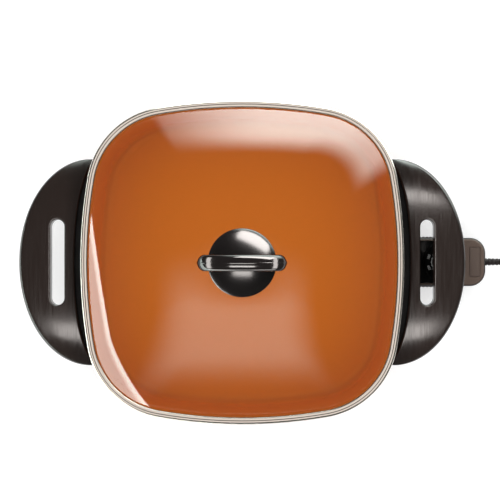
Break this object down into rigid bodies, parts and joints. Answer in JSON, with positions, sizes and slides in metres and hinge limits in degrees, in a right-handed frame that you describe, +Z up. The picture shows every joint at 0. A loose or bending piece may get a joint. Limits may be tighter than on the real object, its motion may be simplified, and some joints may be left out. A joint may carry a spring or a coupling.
{
  "type": "electric skillet",
  "caption": "Electric skillet: bowed square coated pan on plastic leg frames with slotted side grips, lift-off domed glass lid and a plug-in dial control on a short mains cord.",
  "frame": {"origin": "on the table, under the middle of the skillet with its control plugged in and without the cord", "axes": "+Z up, +X from the pan towards the temperature control, front towards -Y"},
  "size_m": [0.5875, 0.3234, 0.1852],
  "materials": {
    "pan_coating": "coppery ceramic non-stick inside, dark satin enamel outside",
    "element_steel": "dull oxidised steel sheath",
    "pin_metal": "plain nickel-plated metal",
    "ceramic": "unglazed off-white ceramic",
    "guard_steel": "plain sheet metal",
    "screw_steel": "zinc-plated steel",
    "handle_plastic": "satin black phenolic",
    "leg_plastic": "fine-textured black phenolic",
    "foot_rubber": "matt black rubber",
    "lid_glass": "clear tempered glass",
    "rim_steel": "polished stainless steel",
    "knob_plastic": "gloss black phenolic",
    "washer_rubber": "translucent silicone",
    "control_plastic": "satin dark grey-brown plastic",
    "control_base_plastic": "satin black plastic",
    "sensor_steel": "brushed stainless tube",
    "contact_brass": "plain brass",
    "lamp_lens": "clear red plastic",
    "window_plastic": "bare satin panel",
    "dial_plastic": "gloss black with plain pale figures",
    "cord_rubber": "satin dark brown-black rubber",
    "plug_plastic": "satin black moulded plastic"
  },
  "bodies": {
    "skillet": {"pan": "pan_coating", "heating_element": "element_steel", "terminal_pins": "pin_metal", "terminal_beads": "ceramic", "terminal_guard": "guard_steel", "guard_screws": "screw_steel", "left_handle": "handle_plastic", "right_handle": "handle_plastic", "left_leg_frame": "leg_plastic", "right_leg_frame": "leg_plastic", "pan_screws": "screw_steel", "handle_screws": "screw_steel", "foot_front_left": "foot_rubber", "foot_front_right": "foot_rubber", "foot_rear_left": "foot_rubber", "foot_rear_right": "foot_rubber"},
    "lid": {"lid_glass": "lid_glass", "lid_rim": "rim_steel", "knob": "knob_plastic", "knob_screw": "screw_steel", "knob_washer": "washer_rubber"},
    "control": {"control_top": "control_plastic", "control_base": "control_base_plastic", "control_screws": "screw_steel", "sensor_tube": "sensor_steel", "contact_sockets": "contact_brass", "fixed_contact_arm": "contact_brass", "moving_contact_arm": "contact_brass", "bimetal_strip": "contact_brass", "contact_insulator": "ceramic", "indicator_lamp": "lamp_lens", "indicator_window": "window_plastic", "strain_relief": "cord_rubber", "cord_lead": "cord_rubber", "cord_coil": "cord_rubber", "cord_tail": "cord_rubber", "plug_body": "plug_plastic", "plug_blades": "contact_brass"},
    "dial": {"temperature_dial": "dial_plastic", "dial_shaft": "pin_metal"}
  },
  "joints": [
    {"name": "lid_lift", "type": "slide", "parent": "skillet", "child": "lid", "axis": [0, 0, 1], "range_m": [0, 0.12]},
    {"name": "control_pull", "type": "slide", "parent": "skillet", "child": "control", "axis": [1, 0, 0], "range_m": [0, 0.09]},
    {"name": "dial_turn", "type": "hinge", "parent": "control", "child": "dial", "pos_m": [0.19275, 0, 0.0455], "axis": [0, 0, -1], "range_deg": [0, 300]}
  ]
}
